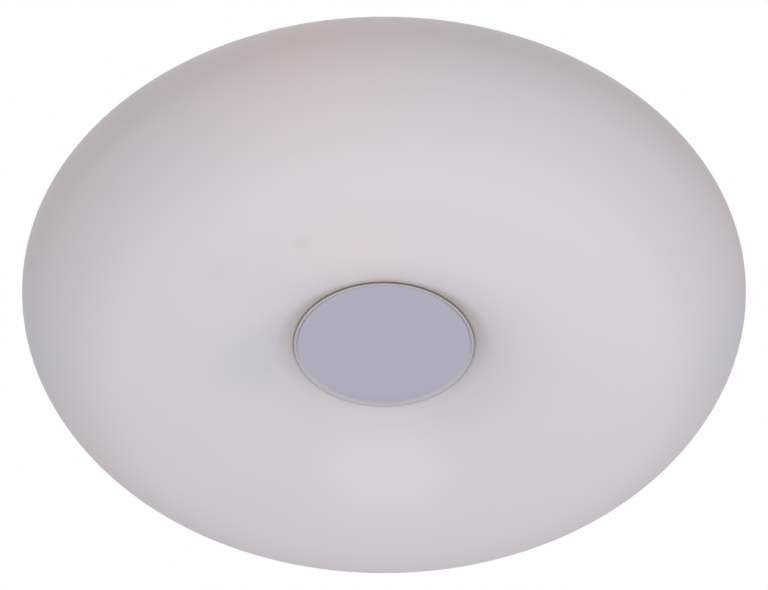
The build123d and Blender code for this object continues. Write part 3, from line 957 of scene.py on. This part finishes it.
# ---------------- the shade and its cap
@dataclass
class Shade:
    """The blown shade: a dimpled floor round a flat seat, and a full flank curled in at the top."""

    wall: float = 3.2
    hole_radius: float = 11.0
    seat_radius: float = 38.0
    seat_corner: float = 9.0
    dimple_angle: float = 42.0
    shoulder: float = 84.0
    belly_angle: float = 10.0
    lower_bends: tuple[tuple[float, float], ...] = ((52.0, 38.0), (82.0, 28.0), (53.0, 24.0))
    upper_bends: tuple[tuple[float, float], ...] = ((42.0, 24.0), (60.5, 28.0), (60.0, 32.0))
    steps: int = 192
    facet: float = 2.5
    rim_facet: float = 15.0
    sharp_angle: float = 60.0

    def course(self) -> list[tuple[float, float]]:
        """Works out the outer line from the seat to the top rim.

        Returns:
            Radius and turn of each bend; a straight run has its length as radius and no turn.
        """
        low, high = node_size("shade_glass")
        seat = node_size("hole_bushing")[0].z
        dimple = radians(self.dimple_angle)
        belly = radians(self.belly_angle)
        # the cone is as long as the drop from the seat to the lowest ring leaves room for
        corner_drop = self.seat_corner * (1 - cos(dimple))
        shoulder_drop = self.shoulder * (cos(belly) - cos(dimple))
        flank_run = heading = 0.0
        for radius, turn in self.lower_bends:
            flank_run += radius * (sin(radians(heading + turn)) - sin(radians(heading)))
            heading += turn
        fixed_run = (
            self.seat_radius
            + self.seat_corner * sin(dimple)
            + self.shoulder * (sin(dimple) - sin(belly))
            + flank_run
        )
        drop = seat - low.z - corner_drop - shoulder_drop
        room = high.x - fixed_run
        # cone length c and belly radius b: c sin + b (1 - cos) = drop and c cos + b sin = room
        scale = sin(dimple) * sin(belly) - cos(dimple) * (1 - cos(belly))
        cone = (drop * sin(belly) - room * (1 - cos(belly))) / scale
        belly_radius = (room * sin(dimple) - drop * cos(dimple)) / scale
        last_radius, last_turn = self.upper_bends[-1]
        rim_turn = degrees(self.wall / 2 / last_radius)
        return [
            (self.seat_radius - self.hole_radius, 0.0),
            (self.seat_corner, -self.dimple_angle),
            (cone, 0.0),
            (self.shoulder, self.dimple_angle - self.belly_angle),
            (belly_radius, self.belly_angle),
            *self.lower_bends,
            *self.upper_bends[:-1],
            (last_radius, last_turn - rim_turn),
        ]

    def outline(self) -> list[Point]:
        """Draws the glass's section.

        Returns:
            The outer line, the round rim and the inner line back to the hole.
        """
        course = self.course()
        pen = Outline(self.hole_radius, node_size("hole_bushing")[0].z, 0.0, self.facet)
        for size, turn in course:
            if turn:
                pen.bend(size, turn)
            else:
                pen.run(size)
        pen.facet = self.rim_facet
        pen.bend(self.wall / 2, 180.0)
        pen.facet = self.facet
        for size, turn in reversed(course):
            if turn:
                pen.bend(size - self.wall if turn > 0 else size + self.wall, -turn)
            else:
                pen.run(size)
        return [*pen.points, pen.points[0]]

    def build(self) -> None:
        """Spins the glass and dresses the bushing in its hole."""
        glass = spun("opal_shade", self.outline(), self.steps, self.sharp_angle)
        settle(glass, "shade", OpalGlass(), ["shade_glass"])
        dress("hole_bushing", Nylon())
        dress("stop_washer", Silicone())


@dataclass
class Cap:
    """The spun cap that holds the shade up, with its dished border, boss and gasket.

    Its border slopes less than in the solid and its side reaches nearer to the glass, where the solid
    keeps a gap to turn in.
    """

    sheet: float = 0.8
    border_slope: float = 44.0
    edge_radius: float = 0.85
    crease_radius: float = 1.6
    side_height: float = 1.7
    rim_rounding: float = 0.35
    steps: int = 144
    facet: float = 8.0
    sharp_angle: float = 35.0

    def outline(self) -> list[Point]:
        """Draws the cap's section.

        Returns:
            The line from the middle of its face round its edge to the middle of its back.
        """
        low, high = node_size("cap_disc")
        radius = high.x
        face = node_size("cap_hub")[0].z - self.sheet
        back = face + self.sheet
        side_top = low.z + self.side_height
        slope = radians(self.border_slope)
        # the border and the side meet at a corner below the lip, which the edge's rounding takes away
        corner = low.z - self.edge_radius * (tan(radians(45) + slope / 2) - 1)
        crease = radius - (face - corner) / tan(slope)
        inner_crease = crease + self.sheet * tan(slope / 2)
        inner_side = radius - self.sheet
        inner_corner = back - (inner_side - inner_crease) * tan(slope)
        return rounded(
            [
                (0.0, face, 0.0),
                (crease, face, self.crease_radius),
                (radius, corner, self.edge_radius),
                (radius, side_top, self.rim_rounding),
                (inner_side, side_top, self.rim_rounding),
                (inner_side, inner_corner, self.edge_radius - self.sheet),
                (inner_crease, back, self.crease_radius + self.sheet),
                (0.0, back, 0.0),
            ],
            self.facet,
        )

    def build(self) -> None:
        """Spins the cap and dresses its boss and gasket."""
        disc = spun("satin_cap", self.outline(), self.steps, self.sharp_angle)
        settle(disc, "cap", SatinNickel(), ["cap_disc"])
        dress("cap_hub", Brass())
        dress("gasket", Silicone())


# ---------------- the pan and what is bolted to it
@dataclass
class Fastener:
    """A pan head screw with a cross recess, its head down and the underside of the head at zero."""

    head_radius: float
    head_height: float
    shank_radius: float
    length: float
    recess_width: float = 1.1
    recess_share: float = 0.6
    recess_depth_share: float = 0.6
    dome_share: float = 0.7
    rim_rounding: float = 0.15
    steps: int = 48

    def build(self, name: str, place: Matrix) -> bpy.types.Object:
        """Spins the screw, cuts its recess and lays it in its place.

        Args:
            name: Name for the piece.
            place: Where it goes, in metres; the shank points along the place's Z.

        Returns:
            The screw.
        """
        tip = self.shank_radius / 2
        section = rounded(
            [
                (0.0, -self.head_height, 0.0),
                (self.head_radius, -self.head_height, self.head_height * self.dome_share),
                (self.head_radius, 0.0, self.rim_rounding),
                (self.shank_radius, 0.0, 0.0),
                (self.shank_radius, self.length - tip, 0.0),
                (self.shank_radius - tip, self.length, 0.0),
                (0.0, self.length, 0.0),
            ]
        )
        screw = spun(name, section, self.steps)
        depth = self.head_height * self.recess_depth_share
        reach = self.head_radius * self.recess_share
        for wide, deep in ((reach, self.recess_width / 2), (self.recess_width / 2, reach)):
            deselect()
            bpy.ops.mesh.primitive_cube_add(size=2 * MM, location=(0, 0, -self.head_height * MM))
            blade = bpy.context.object
            blade.scale = (wide, deep, depth)
            bpy.ops.object.transform_apply(location=True, rotation=True, scale=True)
            cut_by(screw, blade)
        return laid(screw, place)


@dataclass
class Stud:
    """The threaded stud and the plain hardware stacked on it."""

    pitch: float = 0.94
    thread_depth: float = 0.55
    steps: int = 24

    def build(self) -> None:
        """Winds the stud's thread and dresses its nuts, washers, tube and stop."""
        low, high = node_size("center_stud")
        radius = high.x
        root = radius - self.thread_depth
        # a thread's crest and root are flat over an eighth of its pitch
        flat = self.pitch / 8
        half = self.pitch / 2
        groove = [(radius, 0.0), (radius, flat), (root, half), (root, half + flat), (radius, self.pitch)]
        rod = threaded("threaded_stud", groove, low.z, high.z, self.steps)
        settle(rod, "base", ZincPlate(), ["center_stud"])
        for node in ("stud_nut_top", "stud_nut_bottom", "stud_lock_washer", "spacer_tube", "shade_stop"):
            dress(node, ZincPlate())


@dataclass
class Pan:
    """The pan against the ceiling, its glass wool and the crossbar behind it."""

    screw_head_height: float = 2.6
    screw_shank_radius: float = 2.0
    wool_inner_radius: float = 60.0
    wool_edge: float = 1.0
    wool_rounding: float = 1.6
    wool_steps: int = 180
    wool_waves: float = 0.9
    wool_wave_size: float = 14.0
    wool_cuts: int = 2
    wool_sharp_angle: float = 60.0

    def wool(self) -> bpy.types.Object:
        """Spins the mat of glass wool and lets its face rise and sink.

        Returns:
            The mat.
        """
        low, high = node_size("insulation_pad")
        outer = high.x - self.wool_edge
        inner = self.wool_inner_radius
        middle = (inner + outer) / 2
        floor = low.z + self.wool_waves / 2
        top = high.z - self.wool_waves / 2
        corner = self.wool_rounding
        loop = rounded(
            [
                (middle, floor, 0.0),
                (outer, floor, corner),
                (outer, top, corner),
                (inner, top, corner),
                (inner, floor, corner),
                (middle, floor, 0.0),
            ]
        )
        mat = spun("glass_wool_mat", loop, self.wool_steps, self.wool_sharp_angle)
        bpy.ops.object.mode_set(mode="EDIT")
        bpy.ops.mesh.select_all(action="SELECT")
        bpy.ops.mesh.subdivide(number_cuts=self.wool_cuts)
        bpy.ops.object.mode_set(mode="OBJECT")
        painted_light_shade_and_smudges = bpy.data.textures.new("wool waves", "CLOUDS")
        painted_light_shade_and_smudges.noise_scale = self.wool_wave_size * MM
        waves = mat.modifiers.new("waves", "DISPLACE")
        waves.texture = painted_light_shade_and_smudges
        waves.texture_coords = "LOCAL"
        waves.mid_level = 0.5
        waves.strength = self.wool_waves * MM
        bpy.ops.object.modifier_apply(modifier=waves.name)
        return mat

    def build(self) -> None:
        """Dresses the pan and crossbar, lays the wool and drives the screws."""
        dress("pan", PowderCoat())
        dress("crossbar", ZincPlate())
        mat = self.wool()
        settle(mat, "base", GlassWool(), ["insulation_pad"])
        plated = (ZincPlate(), "zinc_steel")
        screws = {
            "mounting_screw_1": plated,
            "mounting_screw_2": plated,
            "ground_screw": (GreenPlate(), "green_paint"),
        }
        for node, (finish, slot) in screws.items():
            low, high = node_size(node)
            middle = (low + high) / 2
            seat = low.z + self.screw_head_height
            head_radius = high.x - middle.x
            screw = Fastener(head_radius, self.screw_head_height, self.screw_shank_radius, high.z - seat)
            place = Matrix.Translation(Vector((middle.x, middle.y, seat)) * MM)
            settle(screw.build(f"recessed_{node}", place), "base", finish, [node])


# ---------------- lampholders and lamps
@dataclass
class Lampholder:
    """One porcelain lampholder on its bracket; the axis of its lamp lies along a tangent."""

    number: int
    well_radius: float = 6.0
    back_radius: float = 16.0
    back_length: float = 10.0
    back_rounding: float = 1.0
    mouth_rounding: float = 0.8
    rim_rounding: float = 2.0
    groove_place: float = 7.0
    groove_width: float = 2.0
    groove_depth: float = 0.7
    groove_rounding: float = 0.4
    screw_head_height: float = 2.2
    screw_shank_radius: float = 1.75
    first_azimuth: float = 90.0

    def place(self) -> Matrix:
        """Works out the frame of the lamp's axis from the CAD.

        Returns:
            The frame, with Z along the axis and X outwards from the stud.
        """
        low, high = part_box("lampholder_1")
        azimuth = radians(self.first_azimuth + (self.number - 1) * 360 / len(HOLDERS))
        outwards = Vector((cos(azimuth), sin(azimuth), 0))
        along = Vector((-sin(azimuth), cos(azimuth), 0))
        origin = outwards * (low.y + high.y) / 2 + Vector((0, 0, (low.z + high.z) / 2))
        turn = Matrix((outwards, along.cross(outwards), along)).transposed()
        return Matrix.Translation(origin) @ turn.to_4x4()

    def body_outline(self) -> list[Point]:
        """Draws the porcelain's section.

        Returns:
            The line from the well round the mouth, a groove and the stepped back to the screw hole.
        """
        back, front, radius = stations("lampholder")
        shell_back, _, bore = stations("screw_shell")
        floor = stations("center_contact")[0]
        screw_tip = stations("holder_screw")[1]
        step = back + self.back_length
        waist = radius - self.groove_depth
        groove_front = front - self.groove_place
        groove_back = groove_front - self.groove_width
        soft = self.groove_rounding
        return rounded(
            [
                (0.0, floor, 0.0),
                (self.well_radius, floor, 0.0),
                (self.well_radius, shell_back, soft),
                (bore, shell_back, 0.0),
                (bore, front, self.mouth_rounding),
                (radius, front, self.rim_rounding),
                (radius, groove_front, soft),
                (waist, groove_front - self.groove_depth, soft),
                (waist, groove_back, soft),
                (radius, groove_back - self.groove_depth, soft),
                (radius, step, self.back_rounding),
                (self.back_radius, step, self.back_rounding),
                (self.back_radius, back, self.back_rounding),
                (self.screw_shank_radius, back, 0.0),
                (self.screw_shank_radius, screw_tip, 0.0),
                (0.0, screw_tip, 0.0),
            ]
        )

    def build(self) -> None:
        """Makes the porcelain and the screw, and dresses the metal and the leads."""
        number = self.number
        place = self.place()
        body = laid(spun(f"porcelain_holder_{number}", self.body_outline()), place)
        settle(body, "base", Porcelain(), [f"lampholder_{number}"])
        head, tip, head_radius = stations("holder_screw")
        seat = head + self.screw_head_height
        screw = Fastener(head_radius, self.screw_head_height, self.screw_shank_radius, tip - seat)
        seated = place @ Matrix.Translation((0, 0, seat * MM))
        made = screw.build(f"recessed_holder_screw_{number}", seated)
        settle(made, "base", ZincPlate(), [f"holder_screw_{number}"])
        fittings = {
            "holder_bracket": PowderCoat(),
            "bracket_rivet": ZincPlate(),
            "wire_bushing": Nylon(),
            "screw_shell": Brass(),
            "center_contact": Brass(),
            "line_lead": LeadInsulation("black wire insulation", LeadColour.LINE.value),
            "neutral_lead": LeadInsulation("white wire insulation", LeadColour.NEUTRAL.value),
        }
        for part, finish in fittings.items():
            dress(f"{part}_{number}", finish)


@dataclass
class Lamp:
    """One soft white lamp with a rolled screw base, in the lampholder of the same number."""

    number: int
    neck_radius: float = 12.4
    neck_bend: float = 12.0
    thread_pitch: float = 3.63
    thread_depth: float = 0.9
    thread_points: int = 12
    lip_height: float = 1.2
    lip_flare: float = 0.6
    lip_rounding: float = 0.25
    lip_steps: int = 72
    base_steps: int = 48
    glass_facet: float = 4.0
    glass_steps: int = 96
    glass_sharp_angle: float = 60.0

    def glass_outline(self) -> list[Point]:
        """Draws the bulb's section from its crown down the flank to the neck inside the base.

        Returns:
            The line, closed on the axis at both ends.
        """
        neck_end, crown, crown_radius = stations("bulb_glass")
        base_end = stations("bulb_base")[1]
        centre = crown - crown_radius
        # the flank is the straight tangent that crosses from the crown's circle to the neck's bend
        run = centre - base_end
        height = self.neck_radius + self.neck_bend
        radii = crown_radius + self.neck_bend
        flank = sqrt(run**2 + height**2 - radii**2)
        lean = degrees(atan2(radii, flank) - atan2(height, run))
        pen = Outline(0.0, crown, 0.0, self.glass_facet)
        pen.bend(crown_radius, -90 - lean).run(flank).bend(self.neck_bend, lean).run(base_end - neck_end)
        return [*pen.points, (0.0, pen.height)]

    def base(self) -> bpy.types.Object:
        """Rolls the base's thread and joins the flared lip to it.

        Returns:
            The base, about the Z axis.
        """
        start, end, lip_radius = stations("bulb_base")
        lip = end - self.lip_height
        crest = lip_radius - self.lip_flare
        swing = self.thread_depth / 2
        groove = []
        for point in range(self.thread_points + 1):
            share = point / self.thread_points
            groove.append((crest - swing + swing * cos(2 * pi * share), self.thread_pitch * share))
        thread = threaded(f"rolled_base_{self.number}", groove, start, lip, self.base_steps)
        soft = self.lip_rounding
        section = rounded(
            [
                (0.0, lip - soft, 0.0),
                (crest - soft, lip - soft, 0.0),
                (lip_radius, lip, soft),
                (lip_radius, end, soft),
                (self.neck_radius, end, 0.0),
                (0.0, end - soft, 0.0),
            ]
        )
        choose(spun("lamp_lip", section, self.lip_steps), thread)
        bpy.ops.object.join()
        return thread

    def build(self) -> None:
        """Makes the bulb and its base and dresses the insulator and the tip."""
        number = self.number
        place = Lampholder(number).place()
        body = f"bulb_{number}"
        outline = self.glass_outline()
        bulb = spun(f"coated_bulb_{number}", outline, self.glass_steps, self.glass_sharp_angle)
        glass = laid(bulb, place)
        settle(glass, body, CoatedBulbGlass(), [f"bulb_glass_{number}"])
        base = laid(self.base(), place)
        settle(base, body, RolledAluminium(), [f"bulb_base_{number}"])
        dress(f"bulb_insulator_{number}", BlackGlass())
        dress(f"bulb_tip_{number}", Solder())


# ---------------- putting it together
def main() -> None:
    """Builds the studio and the light, one sub-assembly after another."""
    logging.basicConfig(level=logging.INFO, format="%(message)s")
    Studio().set_up()
    Shade().build()
    Cap().build()
    Stud().build()
    Pan().build()
    for number in HOLDERS:
        Lampholder(number).build()
        Lamp(number).build()


if __name__ == "__main__":
    main()
